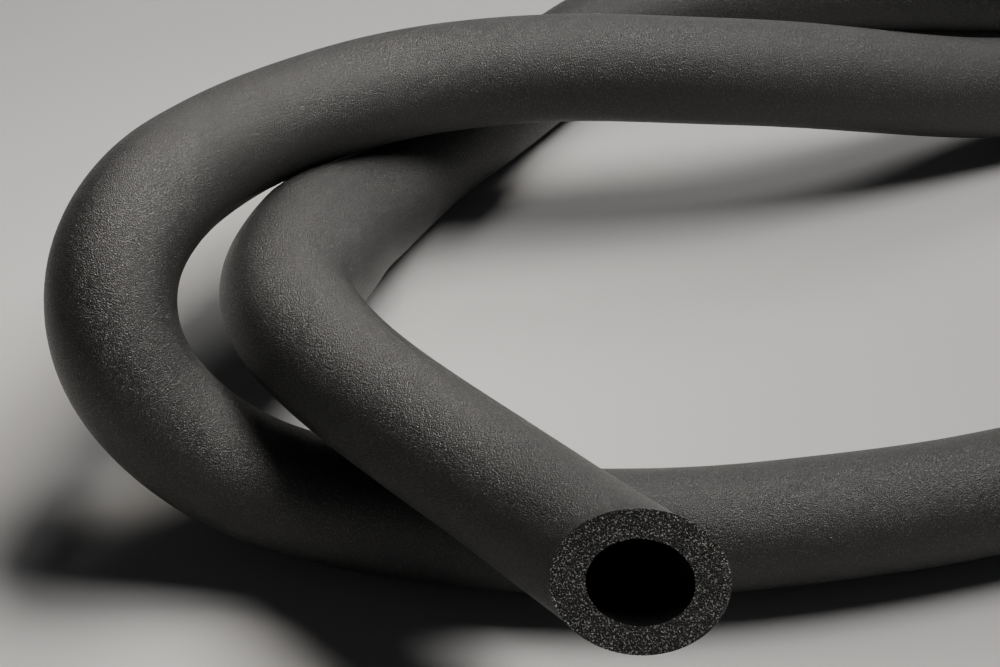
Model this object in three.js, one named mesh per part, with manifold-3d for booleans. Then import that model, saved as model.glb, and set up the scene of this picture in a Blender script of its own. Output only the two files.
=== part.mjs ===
// A two metre length of flexible foam pipe insulation that lies in a loose coil.
// It is one piece of black closed-cell rubber foam: an open bore with an even wall all round.
// Millimetres, +Z up. The coil rests on the plane z = 0, and the origin is under the middle of it.
import * as THREE from "three";
import { mergeVertices } from "three/addons/utils/BufferGeometryUtils.js";
import Module from "manifold-3d";

// The section is named by the pipe that it fits and by the wall, and the length is as sold.
const BORE = 19;
const WALL = 6;
const LENGTH = 2000;

// Where the tube passes over itself, this gap is left between the two passes.
const CROSSING_GAP = 1;

// The knife went through the near end at a slant: its face looks along -Y and up by this angle.
const NEAR_CUT_RISE = THREE.MathUtils.degToRad(30);

// Facets of the round section, and steps along the whole tube.
const OUTER_SIDES = 20;
const BORE_SIDES = 16;
const STEPS = 120;

// Samples that a curve's length is summed from, and the distance at which corners count as one.
const LENGTH_SAMPLES = 2000;
const WELD_DISTANCE = 1e-3;

const OUTER_RADIUS = BORE / 2 + WALL;
const BORE_RADIUS = BORE / 2;
const PASS_HEIGHT = 2 * OUTER_RADIUS + CROSSING_GAP;

// The points that draw the centre line along: x and y, and the lift off the floor, where 0 is a pass
// that lies on the floor and 1 is a pass that lies over such a one. The line starts at the first
// point and ends at the last one. Between them it passes near the points, on a smooth curve.
const ROUTE = [
  // The near end, which rises over the front pass
  [28.5, -143.5, 1.5],
  [8, -113, 1.06],
  [-17, -88, 0.97],
  [-40, -68, 1.03],
  [-58, -45, 1.04],
  [-53, -19, 0.82],
  [-48, 4, 0.45],
  [-38, 24, 0.12],
  [-22, 54, 0],
  [8, 88, 0],
  [32, 122, 0],
  [73, 140, 0],
  [119, 149, 0],
  // The outer turn on the right
  [162, 147, 0],
  [205, 147, 0],
  [248, 149, 0],
  [292, 150, 0],
  [335, 145, 0],
  [377, 131, 0],
  [412, 105, 0],
  [434, 68, 0],
  [436, 25, 0],
  [417, -14, 0],
  [383, -41, 0],
  [343, -54, 0],
  [301, -59, 0],
  [259, -60, 0],
  [217, -62, 0],
  [186, -64, 0],
  [156, -70, 0],
  // The front pass
  [118, -81, 0],
  [78, -88, 0],
  [35, -93, 0],
  [-8, -90, 0],
  // The left turn, which stands off the floor
  [-46, -82, 0],
  [-73, -76, 0.26],
  [-92, -71, 1.08],
  [-94, -53, 1.66],
  [-85, -32, 1.8],
  [-79, -7, 1.46],
  [-64, 23, 1.16],
  // The back pass, which lies over the first one and comes down to the floor
  [-24, 51, 1],
  [19, 58, 0.97],
  [61, 59, 0.87],
  [102, 66, 0.66],
  [140, 76, 0.26],
  [179, 90, 0],
  // The far end, which lies inside the outer turn
  [220, 104, 0],
  [262, 111, 0],
  [304, 111, 0],
  [343, 98, 0],
  [372, 68, 0],
  [382, 22, 0],
];

// A smooth curve, a uniform cubic B-spline, whose bend changes evenly all the way. One point more
// past either end makes it start at the first point and end at the last one. On each span four
// points pull at it, and the weights of their pulls are in sixths.
class DrawnCurve extends THREE.Curve {
  constructor(points) {
    super();
    const before = DrawnCurve.beyond(points[0], points[1]);
    const after = DrawnCurve.beyond(points.at(-1), points.at(-2));
    this.points = [before, ...points, after];
    this.arcLengthDivisions = LENGTH_SAMPLES;
  }

  static beyond(end, neighbour) {
    return end.clone().multiplyScalar(2).sub(neighbour);
  }

  getPoint(t) {
    const spans = this.points.length - 3;
    const span = Math.min(Math.floor(t * spans), spans - 1);
    const u = t * spans - span;
    const v = 1 - u;
    const sixths = [v ** 3, 3 * u ** 3 - 6 * u ** 2 + 4, 3 * v ** 3 - 6 * v ** 2 + 4, u ** 3];
    const point = new THREE.Vector3();
    sixths.forEach((weight, i) => point.addScaledVector(this.points[span + i], weight / 6));
    return point;
  }
}

// The centre line at a distance from the near end. Past either end of the route it runs straight on.
function makeCentreLine() {
  const points = ROUTE.map(
    ([x, y, lift]) => new THREE.Vector3(x, y, OUTER_RADIUS + lift * PASS_HEIGHT)
  );
  const spline = new DrawnCurve(points);
  const total = spline.getLength();

  return function at(distance) {
    const along = THREE.MathUtils.clamp(distance, 0, total);
    const point = spline.getPointAt(along / total);
    const heading = spline.getTangentAt(along / total);
    return point.addScaledVector(heading, distance - along);
  };
}

const centreLine = makeCentreLine();

// The stretch of the centre line from one distance to another, as a curve to sweep along.
class Stretch extends THREE.Curve {
  constructor(from, to) {
    super();
    this.from = from;
    this.to = to;
    this.arcLengthDivisions = LENGTH_SAMPLES;
  }

  getPoint(t) {
    return centreLine(THREE.MathUtils.lerp(this.from, this.to, t));
  }
}

function circle(radius, sides, path) {
  const points = [];
  for (let i = 0; i < sides; i += 1) {
    const angle = (2 * Math.PI * i) / sides;
    points.push(new THREE.Vector2(radius * Math.cos(angle), radius * Math.sin(angle)));
  }
  return path.setFromPoints(points);
}

function tubeGeometry(from, to) {
  const section = circle(OUTER_RADIUS, OUTER_SIDES, new THREE.Shape());
  section.holes.push(circle(BORE_RADIUS, BORE_SIDES, new THREE.Path()));
  return new THREE.ExtrudeGeometry(section, {
    steps: STEPS,
    extrudePath: new Stretch(from, to),
  });
}

// The same surface with its corners shared, and nothing kept but their places.
function welded(geometry) {
  const bare = geometry.clone();
  bare.deleteAttribute("normal");
  bare.deleteAttribute("uv");
  return mergeVertices(bare, WELD_DISTANCE);
}

const wasm = await Module();
wasm.setup();

function toSolid(geometry) {
  const mesh = welded(geometry);
  return new wasm.Manifold(
    new wasm.Mesh({
      numProp: 3,
      vertProperties: new Float32Array(mesh.attributes.position.array),
      triVerts: new Uint32Array(mesh.index.array),
    })
  );
}

function toGeometry(solid) {
  const mesh = solid.getMesh();
  const geometry = new THREE.BufferGeometry();
  geometry.setAttribute("position", new THREE.BufferAttribute(mesh.vertProperties, 3));
  geometry.setIndex(new THREE.BufferAttribute(mesh.triVerts, 1));
  return geometry;
}

// The tube starts a little before its near end, and the slanted cut takes off what is over.
function insulationTube() {
  const spare = 2 * OUTER_RADIUS;
  const start = centreLine(0);
  const cutNormal = new THREE.Vector3(0, -Math.cos(NEAR_CUT_RISE), Math.sin(NEAR_CUT_RISE));
  const solid = toSolid(tubeGeometry(-spare, LENGTH));
  const inward = cutNormal.clone().negate();
  const cut = solid.trimByPlane(inward.toArray(), inward.dot(start));
  const geometry = toGeometry(cut).toNonIndexed();
  geometry.computeVertexNormals();
  return geometry;
}

const foam = new THREE.MeshStandardMaterial({
  color: 0x35343a,
  roughness: 0.75,
  metalness: 0,
});

const tube = new THREE.Mesh(insulationTube(), foam);
tube.name = "insulation_tube";

// The coil is set with the middle of its outline over the origin, and its lowest line on the floor.
tube.geometry.computeBoundingBox();
const middle = tube.geometry.boundingBox.getCenter(new THREE.Vector3());
tube.position.set(-middle.x, -middle.y, -tube.geometry.boundingBox.min.z);

const coil = new THREE.Group();
coil.add(tube);

export default coil;
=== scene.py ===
import math

import bpy
import numpy as np
from mathutils import Matrix, Vector


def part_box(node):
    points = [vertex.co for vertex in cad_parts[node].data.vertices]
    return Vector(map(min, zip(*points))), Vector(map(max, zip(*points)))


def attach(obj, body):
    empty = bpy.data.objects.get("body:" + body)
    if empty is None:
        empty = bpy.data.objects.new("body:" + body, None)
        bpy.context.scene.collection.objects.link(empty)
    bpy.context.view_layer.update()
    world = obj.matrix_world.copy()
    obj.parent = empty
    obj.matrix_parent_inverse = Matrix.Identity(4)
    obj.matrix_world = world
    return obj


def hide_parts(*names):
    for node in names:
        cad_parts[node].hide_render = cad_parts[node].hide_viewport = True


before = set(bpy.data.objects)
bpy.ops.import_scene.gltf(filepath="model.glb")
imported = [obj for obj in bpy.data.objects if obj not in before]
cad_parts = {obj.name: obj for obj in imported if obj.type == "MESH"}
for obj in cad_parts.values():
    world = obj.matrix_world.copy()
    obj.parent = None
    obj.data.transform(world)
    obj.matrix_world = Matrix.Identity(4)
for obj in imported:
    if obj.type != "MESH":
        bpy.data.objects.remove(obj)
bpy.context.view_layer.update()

MM = 0.001
NODE = "insulation_tube"

# Section and length of the tube, and the gap where it passes over itself, as in the solid
BORE_RADIUS = 9.5 * MM
OUTER_RADIUS = 15.5 * MM
LENGTH = 2000 * MM
CROSSING_GAP = 1 * MM
PASS_HEIGHT = 2 * OUTER_RADIUS + CROSSING_GAP
NEAR_CUT_RISE = math.radians(30)

# The points that draw the centre line along: x and y in millimetres, and the lift off the floor in
# passes of the tube. The curve starts at the first point and ends at the last one.
ROUTE = [
    # The near end, which rises over the front pass
    (28.5, -143.5, 1.5), (8, -113, 1.06), (-17, -88, 0.97), (-40, -68, 1.03), (-58, -45, 1.04),
    (-53, -19, 0.82), (-48, 4, 0.45), (-38, 24, 0.12), (-22, 54, 0), (8, 88, 0), (32, 122, 0),
    (73, 140, 0), (119, 149, 0),
    # The outer turn on the right
    (162, 147, 0), (205, 147, 0), (248, 149, 0), (292, 150, 0), (335, 145, 0), (377, 131, 0),
    (412, 105, 0), (434, 68, 0), (436, 25, 0), (417, -14, 0), (383, -41, 0), (343, -54, 0),
    (301, -59, 0), (259, -60, 0), (217, -62, 0), (186, -64, 0), (156, -70, 0),
    # The front pass
    (118, -81, 0), (78, -88, 0), (35, -93, 0), (-8, -90, 0),
    # The left turn, which stands off the floor
    (-46, -82, 0), (-73, -76, 0.26), (-92, -71, 1.08), (-94, -53, 1.66), (-85, -32, 1.8),
    (-79, -7, 1.46), (-64, 23, 1.16),
    # The back pass, which lies over the first one and comes down to the floor
    (-24, 51, 1), (19, 58, 0.97), (61, 59, 0.87), (102, 66, 0.66), (140, 76, 0.26), (179, 90, 0),
    # The far end, which lies inside the outer turn
    (220, 104, 0), (262, 111, 0), (304, 111, 0), (343, 98, 0), (372, 68, 0), (382, 22, 0),
]

# How finely things are worked out: samples of the curve between two of its points, the step at which
# the plain tube is sampled along its length, and halvings that find a point of the slanted cut
CURVE_SAMPLES = 60
SAMPLE_STEP = 1 * MM
CUT_HALVINGS = 30

# The mesh: sides round the tube, rings along it, and rings across a cut face. Close to the cuts the
# rings stand at the distances in END_RINGS, and the bore has only some of the rings between them.
SKIN_SIDES = 72
RING_STEP = 2.05 * MM
END_RINGS = np.array([0, 0.25, 0.55, 0.9, 1.3, 1.8, 2.5, 3.4, 4.6]) * MM
FACE_RINGS = 20
BORE_RING_EVERY = 4

# Over this distance from the near end the rings turn from the slant of the cut to square. No point
# of the cut lies farther along the tube than this.
CUT_BLEND = 30 * MM

# Where the foam swells out: distance along the tube, reach, the direction it swells in, how far.
# The first two are the squeezed inner side of the tightest bend, and the last one lies behind it.
SWELLS = (
    (125 * MM, 20 * MM, (0.93, 0.31, 0.21), 2 * MM),
    (165 * MM, 34 * MM, (0.80, -0.35, -0.48), 5.7 * MM),
    (195 * MM, 38 * MM, (-0.58, 0.51, 0.63), 2.9 * MM),
)
SWELL_SHARPNESS = 1.5

# Where the swollen foam meets the pass of the tube that lies over it, the upper pass presses it in
UNDER_PASS = (150 * MM, 270 * MM)
OVER_PASS = (1430 * MM, 1590 * MM)
PRESSED_GAP = 0.35 * MM

# The knife leaves a small lip in the skin. The two edges of a cut face are a little ragged, and stand
# in from the corners by FACE_INSET. The bore is as uneven as the skin, but turned by BORE_TURN, in
# radians. Its unevenness fades out over RIM_FADE, so that it stays clear of the ragged edge.
LIP_HEIGHT = 0.45 * MM
LIP_LENGTH = 1.3 * MM
FACE_INSET = 0.15 * MM
RAGGED = 0.1 * MM
RAGGED_SEED = 7
BORE_TURN = 1
RIM_FADE = 6 * MM

# Material slots of the mesh
SKIN, CUT, BORE = 0, 1, 2

# Camera of the photograph, over the same floor as the route
CAMERA_BACK = 356.5 * MM
CAMERA_HEIGHT = 344.1 * MM
CAMERA_PITCH = math.radians(44.55)
FOCAL_PIXELS = 1720.9
IMAGE_WIDTH = 1000
SENSOR_WIDTH = 36.0
NEAREST_SEEN = 10 * MM
FARTHEST_SEEN = 20.0

# The floor, in metres and as a colour
FLOOR_REACH = 6.0
FLOOR_COLOUR = (0.5, 0.495, 0.49, 1)

# The studio lights, in metres, watts and degrees: name, where it stands, where it looks, how wide it
# is, power, colour, and how far its light spreads
LIGHTS = (
    ("key_above", (0.36, 0.2, 0.95), (-0.03, 0, 0), 0.45, 10.2, (1, 0.98, 0.95), 180),
    ("key_behind", (0.12, 0.88, 0.88), (-0.05, 0, 0), 0.45, 5.8, (1, 0.985, 0.965), 180),
    ("turn_light", (-0.07, 0.2, 0.55), (-0.28, -0.085, 0.06), 0.25, 0.4, (1, 0.95, 0.88), 50),
    ("front_fill", (0.6, -1.5, 0.9), (0, 0, 0), 1.2, 0.25, (1, 1, 1), 180),
)
SKY_COLOUR = (0.9, 0.93, 1, 1)
SKY_STRENGTH = 0.025


def route_points():
    return np.array([(x * MM, y * MM, OUTER_RADIUS + lift * PASS_HEIGHT) for x, y, lift in ROUTE])


def drawn_curve(points):
    """A uniform cubic B-spline from the first point to the last one, sampled densely."""
    padded = np.vstack([2 * points[0] - points[1], points, 2 * points[-1] - points[-2]])
    u = np.linspace(0, 1, CURVE_SAMPLES, endpoint=False)[:, None]
    v = 1 - u
    sixths = (v ** 3, 3 * u ** 3 - 6 * u ** 2 + 4, 3 * v ** 3 - 6 * v ** 2 + 4, u ** 3)
    spans = [sum(w * padded[i + k] for k, w in enumerate(sixths)) / 6 for i in range(len(points) - 1)]
    return np.vstack(spans + [points[-1:]])


class CentreLine:
    """The route by distance from the near end, with a frame that doesn't twist along it."""

    def __init__(self, points):
        drawn = drawn_curve(points)
        span = np.linalg.norm(np.diff(drawn, axis=0), axis=1)
        at = np.concatenate([[0], np.cumsum(span)])
        self.at = np.linspace(0, at[-1], len(drawn))
        self.points = np.stack([np.interp(self.at, at, drawn[:, k]) for k in range(3)], axis=1)
        self.heading = np.gradient(self.points, self.at, axis=0)
        self.heading /= np.linalg.norm(self.heading, axis=1)[:, None]
        self.side = self._carried_side()

    def _carried_side(self):
        side = np.cross(self.heading[0], (0, 0, 1))
        sides = []
        for heading in self.heading:
            side = side - heading * (side @ heading)
            side = side / np.linalg.norm(side)
            sides.append(side)
        return np.array(sides)

    def _mix(self, table, along):
        return np.stack([np.interp(along, self.at, table[:, k]) for k in range(3)], axis=-1)

    def place(self, along, angle, radius):
        """Points on the tube: distance along, angle round and radius, all arrays of one shape.

        Past either end of the route the tube runs straight on.
        """
        inside = np.clip(along, 0, self.at[-1])
        heading = self._mix(self.heading, inside)
        heading /= np.linalg.norm(heading, axis=-1, keepdims=True)
        side = self._mix(self.side, inside)
        side -= heading * (side * heading).sum(-1, keepdims=True)
        side /= np.linalg.norm(side, axis=-1, keepdims=True)
        up = np.cross(side, heading)
        centre = self._mix(self.points, inside) + heading * (along - inside)[..., None]
        out = side * np.cos(angle)[..., None] + up * np.sin(angle)[..., None]
        return centre + out * radius[..., None]


centre_line = CentreLine(route_points())
near_centre = centre_line.points[0]
near_normal = np.array([0, -math.cos(NEAR_CUT_RISE), math.sin(NEAR_CUT_RISE)])
angles = np.linspace(0, 2 * math.pi, SKIN_SIDES, endpoint=False)


def near_shift(angle, radius):
    """How far along the tube a line on it starts, so that its first point lies on the slanted cut."""
    low = np.full(angle.shape, -CUT_BLEND)
    high = np.full(angle.shape, CUT_BLEND)
    for _ in range(CUT_HALVINGS):
        middle = (low + high) / 2
        beyond = (centre_line.place(middle, angle, radius) - near_centre) @ near_normal > 0
        low = np.where(beyond, middle, low)
        high = np.where(beyond, high, middle)
    return (low + high) / 2


def to_cut(along, angle, radius):
    """How far along the tube the nearer of its two cuts is."""
    return np.minimum(np.abs(along - near_shift(angle, radius)), np.abs(LENGTH - along))


def leaning(stations, radius):
    """Distances along the tube that near the slanted cut lean as it does, and the angles to them."""
    grid_along, grid_angle = np.meshgrid(stations, angles, indexing="ij")
    shift = near_shift(angles, np.full(angles.shape, radius))
    lean = np.clip(1 - grid_along / CUT_BLEND, 0, 1)
    return grid_along + shift * lean, grid_angle


def unevenness(along, angle):
    """The slow rise and fall of a foam surface that was never quite round.

    Each wave has its height and its length along the tube in millimetres, and its own way round it.
    """
    distance = along / MM
    waves = (0.10 * np.sin(distance / 31 + 1.7 * np.sin(angle + 0.4))
             + 0.08 * np.sin(distance / 17 + 2.1 + 2.3 * np.cos(angle))
             + 0.06 * np.sin(distance / 9.1 + 3 * angle + 0.6)
             + 0.07 * np.cos(2 * angle + distance / 130))
    return waves * MM


def swelling(along, out):
    """How far the squeezed foam stands out, where its skin faces in the direction out."""
    total = np.zeros(along.shape)
    for at, reach, direction, amount in SWELLS:
        facing = np.clip(out @ np.array(direction), 0, 1)
        total += amount * facing ** SWELL_SHARPNESS * np.exp(-((along - at) / reach) ** 2)
    return total


def pressed_in(along, points):
    """The same points, with those of the lower pass kept outside the pass that lies over it."""
    stations = np.arange(*OVER_PASS, SAMPLE_STEP)
    over = centre_line.place(stations, 0 * stations, 0 * stations)
    under = (along > UNDER_PASS[0]) & (along < UNDER_PASS[1])
    lower = points[under]
    to_over = lower[:, None, :] - over[None, :, :]
    far = np.linalg.norm(to_over, axis=2)
    nearest = far.argmin(axis=1)
    rows = np.arange(len(lower))
    away = to_over[rows, nearest]
    reach = far[rows, nearest][:, None]
    shape = points.copy()
    shape[under] = over[nearest] + away / reach * np.maximum(reach, OUTER_RADIUS + PRESSED_GAP)
    return shape


def skin_points(along, angle):
    """Points on the outside, with the swellings, the lips at the cuts and the unevenness."""
    flat = np.full(along.shape, OUTER_RADIUS)
    axis = centre_line.place(along, angle, flat * 0)
    out = (centre_line.place(along, angle, flat) - axis) / OUTER_RADIUS
    lip = LIP_HEIGHT * np.exp(-(to_cut(along, angle, flat) / LIP_LENGTH) ** 2)
    radius = flat + swelling(along, out) + lip + unevenness(along, angle)
    return pressed_in(along, centre_line.place(along, angle, radius))


def bore_points(along, angle):
    """Points on the inside, with the unevenness, which fades out at the cuts."""
    flat = np.full(along.shape, BORE_RADIUS)
    settled = 1 - np.exp(-(to_cut(along, angle, flat) / RIM_FADE) ** 2)
    return centre_line.place(along, angle, flat + settled * unevenness(along, angle + BORE_TURN))


def near_face_ring(radius):
    flat = radius * np.ones(angles.shape)
    return centre_line.place(near_shift(angles, flat), angles, flat)


def far_face_ring(radius):
    flat = radius * np.ones(angles.shape)
    return centre_line.place(np.full(angles.shape, LENGTH), angles, flat)


def face_rings(ring, ragged):
    """The rings of a cut face from its outer edge to its bore, with both of its edges ragged."""
    radii = np.linspace(OUTER_RADIUS - FACE_INSET, BORE_RADIUS + FACE_INSET, FACE_RINGS)
    edges = (0, FACE_RINGS - 1)
    return np.stack([ring(radius + ragged * (i in edges)) for i, radius in enumerate(radii)])


def tube_stations():
    """Distances of the skin's rings along the tube, and of the fewer rings of the bore."""
    last = END_RINGS[-1]
    between = np.arange(last + RING_STEP, LENGTH - last - RING_STEP / 2, RING_STEP)
    skin = np.concatenate([END_RINGS, between, LENGTH - END_RINGS[::-1]])
    ends = len(END_RINGS)
    bore = np.concatenate([skin[:ends], skin[ends:-ends:BORE_RING_EVERY], skin[-ends:]])
    return skin, bore


def tube_strips():
    """The rings in one closed round, each strip with its slot: skin, far cut, bore, near cut."""
    rng = np.random.default_rng(RAGGED_SEED)
    ragged = rng.uniform(-RAGGED, RAGGED, (2, SKIN_SIDES))
    skin_stations, bore_stations = tube_stations()
    skin = skin_points(*leaning(skin_stations, OUTER_RADIUS))
    bore = bore_points(*leaning(bore_stations, BORE_RADIUS))
    far = face_rings(far_face_ring, ragged[0])
    near = face_rings(near_face_ring, ragged[1])
    return (skin, SKIN), (far, CUT), (bore[::-1], BORE), (near[::-1], CUT)


def joined(strips):
    """The vertices, faces, slot of each face and sharp rings of one closed mesh of the strips."""
    total = sum(len(rings) for rings, _ in strips)
    faces = []
    slots = []
    sharp = set()
    first = 0
    for rings, slot in strips:
        last = first + len(rings) - 1
        sharp |= {first, last}
        for i in range(first, last + 1):
            j = (i + 1) % total
            # The narrow band from one strip to the next belongs to the cut face that it borders
            slots += [slot if i < last else CUT] * SKIN_SIDES
            for k in range(SKIN_SIDES):
                n = (k + 1) % SKIN_SIDES
                corners = ((i, k), (i, n), (j, n), (j, k))
                faces.append(tuple(ring * SKIN_SIDES + side for ring, side in corners))
        first = last + 1
    vertices = np.concatenate([rings for rings, _ in strips]).reshape(-1, 3)
    return vertices, faces, slots, sharp


def tube_piece():
    vertices, faces, slots, sharp = joined(tube_strips())
    mesh = bpy.data.meshes.new("foam_tube")
    mesh.from_pydata(vertices.tolist(), [], faces)
    mesh.polygons.foreach_set("material_index", slots)
    mesh.polygons.foreach_set("use_smooth", [True] * len(faces))
    for edge in mesh.edges:
        one, other = (vertex // SKIN_SIDES for vertex in edge.vertices)
        edge.use_edge_sharp = one == other and one in sharp
    mesh.update()
    piece = bpy.data.objects.new("foam_tube", mesh)
    bpy.context.scene.collection.objects.link(piece)
    return piece


def set_over_solid(piece):
    """Moves the piece from the route's own floor to where the solid lies, and returns the move."""
    low, high = (np.array(corner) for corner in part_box(NODE))
    along, angle = leaning(np.arange(0, LENGTH, SAMPLE_STEP), OUTER_RADIUS)
    plain = centre_line.place(along, angle, np.full(along.shape, OUTER_RADIUS)).reshape(-1, 3)
    move = Vector((low + high) / 2 - (plain.min(0) + plain.max(0)) / 2)
    move.z = low[2] - plain[:, 2].min()
    piece.data.transform(Matrix.Translation(move))
    # The uneven skin would reach under the floor here and there, so the foam is flat where it rests
    for vertex in piece.data.vertices:
        vertex.co.z = max(vertex.co.z, low[2])
    return move


def add_camera(move):
    data = bpy.data.cameras.new("photo_camera")
    data.sensor_width = SENSOR_WIDTH
    data.lens = SENSOR_WIDTH * FOCAL_PIXELS / IMAGE_WIDTH
    data.clip_start = NEAREST_SEEN
    data.clip_end = FARTHEST_SEEN
    camera = bpy.data.objects.new("photo_camera", data)
    camera.location = move + Vector((0, -CAMERA_BACK, CAMERA_HEIGHT))
    camera.rotation_euler = (math.pi / 2 - CAMERA_PITCH, 0, 0)
    bpy.context.scene.collection.objects.link(camera)
    bpy.context.scene.camera = camera


class Shader:
    """A node material, built up by short calls."""

    def __init__(self, name):
        self.material = bpy.data.materials.new(name)
        self.material.use_nodes = True
        self.nodes = self.material.node_tree.nodes
        self.links = self.material.node_tree.links
        self.surface = self.nodes["Principled BSDF"]
        self.place = self.nodes.new("ShaderNodeTexCoord").outputs["Object"]

    def link(self, source, target):
        self.links.new(source, target)

    def noise(self, size, detail, roughness=0.5):
        node = self.nodes.new("ShaderNodeTexNoise")
        node.inputs["Scale"].default_value = 1 / size
        node.inputs["Detail"].default_value = detail
        node.inputs["Roughness"].default_value = roughness
        self.link(self.place, node.inputs["Vector"])
        return node.outputs["Fac"]

    def cells(self, size):
        """The distance from the middle of the nearest cell."""
        node = self.nodes.new("ShaderNodeTexVoronoi")
        node.inputs["Scale"].default_value = 1 / size
        self.link(self.place, node.inputs["Vector"])
        return node.outputs["Distance"]

    def ramp(self, source, stops):
        node = self.nodes.new("ShaderNodeValToRGB")
        elements = node.color_ramp.elements
        while len(elements) < len(stops):
            elements.new(0.5)
        for element, (position, colour) in zip(elements, stops):
            element.position = position
            element.color = (*colour, 1)
        self.link(source, node.inputs["Fac"])
        return node.outputs["Color"]

    def span(self, source, before, after):
        """The source with its range before, from low to high, spread over the range after."""
        node = self.nodes.new("ShaderNodeMapRange")
        for name, value in zip(("From Min", "From Max", "To Min", "To Max"), before + after):
            node.inputs[name].default_value = value
        self.link(source, node.inputs["Value"])
        return node.outputs["Result"]

    def maths(self, operation, *values):
        node = self.nodes.new("ShaderNodeMath")
        node.operation = operation
        for socket, value in zip(node.inputs, values):
            if isinstance(value, (int, float)):
                socket.default_value = value
            else:
                self.link(value, socket)
        return node.outputs[0]

    def bump(self, height, distance, below=None):
        node = self.nodes.new("ShaderNodeBump")
        node.inputs["Distance"].default_value = distance
        node.inputs["Strength"].default_value = 1
        self.link(height, node.inputs["Height"])
        if below is not None:
            self.link(below, node.inputs["Normal"])
        return node.outputs["Normal"]

    def set(self, name, value):
        if isinstance(value, (int, float, tuple)):
            self.surface.inputs[name].default_value = value
        else:
            self.link(value, self.surface.inputs[name])


def skin_material():
    """The closed moulded skin: charcoal rubber with a fine pebbled grain, its colour painted with shade
    in the pits and light and glints on the grain tops.
    """
    # pit is painted shade, top is painted light and painted_glint is a painted glint; slope is the
    # skin's own charcoal
    painted_pit_shade = (0.003, 0.003, 0.0031)
    slope = (0.010, 0.0099, 0.010)
    painted_lit_top = (0.019, 0.0187, 0.0183)
    painted_glint = (0.15, 0.147, 0.141)
    shader = Shader("foam_skin")
    grain = shader.noise(0.32 * MM, detail=1.5, roughness=0.6)
    middle = shader.maths("SUBTRACT", shader.noise(0.46 * MM, detail=1), 0.5)
    creases = shader.maths("MULTIPLY", shader.maths("ABSOLUTE", middle), 1.4)
    height = shader.maths("SUBTRACT", grain, creases)
    # The colour follows the grain's height: painted shade darkens the pits and creases, and painted
    # light and glints brighten the tops
    skin_tone_and_painted_light = shader.ramp(height, [(0.05, painted_pit_shade), (0.36, slope), (0.52, painted_lit_top), (0.65, painted_glint)])
    shader.set("Base Color", skin_tone_and_painted_light)
    shader.set("Roughness", shader.span(grain, (0.3, 0.75), (0.50, 0.30)))
    shader.set("Specular IOR Level", 0.72)
    wide = shader.bump(shader.noise(7 * MM, detail=2), 0.2 * MM)
    shader.set("Normal", shader.bump(height, 0.3 * MM, wide))
    return shader.material


def cut_material():
    """The sliced wall: small open cells, with painted shade inside them and painted light specks where
    their walls meet.
    """
    # inside is painted shade in the cells, edge and speck are painted highlights on the cell walls; wall
    # is the foam's own dark tone
    inside = (0.005, 0.005, 0.0052)
    wall = (0.014, 0.014, 0.014)
    edge = (0.085, 0.083, 0.078)
    painted_speck_glint = (0.7, 0.69, 0.65)
    shader = Shader("foam_cut_face")
    fine = shader.noise(0.28 * MM, detail=1)
    patch = shader.noise(3 * MM, detail=2)
    walls = shader.span(shader.cells(0.42 * MM), (0.40, 0.66), (0, 1))
    lit = shader.maths("MULTIPLY", walls, shader.span(fine, (0.38, 0.62), (0.15, 1)))
    # The ramp paints shade into the cells and light onto the walls where they meet
    shader.set("Base Color", shader.ramp(lit, [(0.0, inside), (0.3, wall), (0.62, edge), (0.92, painted_speck_glint)]))
    shader.set("Roughness", shader.span(patch, (0.3, 0.7), (0.40, 0.55)))
    shader.set("Specular IOR Level", 0.5)
    shader.set("Normal", shader.bump(shader.maths("ADD", walls, fine), 0.25 * MM))
    return shader.material


def bore_material():
    """The inner skin, duller than the outer one, its colour darkened with painted shade."""
    # dark and less_dark are painted shade inside the bore, darker than the skin's own charcoal
    dark = (0.003, 0.003, 0.0031)
    less_dark = (0.008, 0.008, 0.0082)
    shader = Shader("foam_bore")
    grain = shader.noise(0.6 * MM, detail=2)
    shader.set("Base Color", shader.ramp(grain, [(0.3, dark), (0.75, less_dark)]))
    shader.set("Roughness", 0.85)
    shader.set("Specular IOR Level", 0.12)
    shader.set("Normal", shader.bump(grain, 0.12 * MM))
    return shader.material


def floor_material():
    shader = Shader("pale_floor")
    shader.set("Base Color", FLOOR_COLOUR)
    shader.set("Roughness", 0.9)
    return shader.material


def add_floor():
    mesh = bpy.data.meshes.new("studio_floor")
    corners = [(FLOOR_REACH * x, FLOOR_REACH * y, 0) for x, y in ((-1, -1), (1, -1), (1, 1), (-1, 1))]
    mesh.from_pydata(corners, [], [(0, 1, 2, 3)])
    mesh.materials.append(floor_material())
    floor = bpy.data.objects.new("studio_floor", mesh)
    bpy.context.scene.collection.objects.link(floor)


def add_light(name, place, target, size, power, colour, spread):
    data = bpy.data.lights.new(name, "AREA")
    data.shape = "DISK"
    data.size = size
    data.energy = power
    data.color = colour
    data.spread = math.radians(spread)
    light = bpy.data.objects.new(name, data)
    light.location = place
    light.rotation_euler = (Vector(target) - Vector(place)).to_track_quat("-Z", "Y").to_euler()
    bpy.context.scene.collection.objects.link(light)


def add_sky():
    """A weak even light from all round."""
    world = bpy.data.worlds.new("studio")
    world.use_nodes = True
    background = world.node_tree.nodes["Background"]
    background.inputs["Color"].default_value = SKY_COLOUR
    background.inputs["Strength"].default_value = SKY_STRENGTH
    bpy.context.scene.world = world


tube = tube_piece()
for material in (skin_material(), cut_material(), bore_material()):
    tube.data.materials.append(material)
route_move = set_over_solid(tube)
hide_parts(NODE)
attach(tube, "root")
add_camera(route_move)
add_floor()
for light_values in LIGHTS:
    add_light(*light_values)
add_sky()
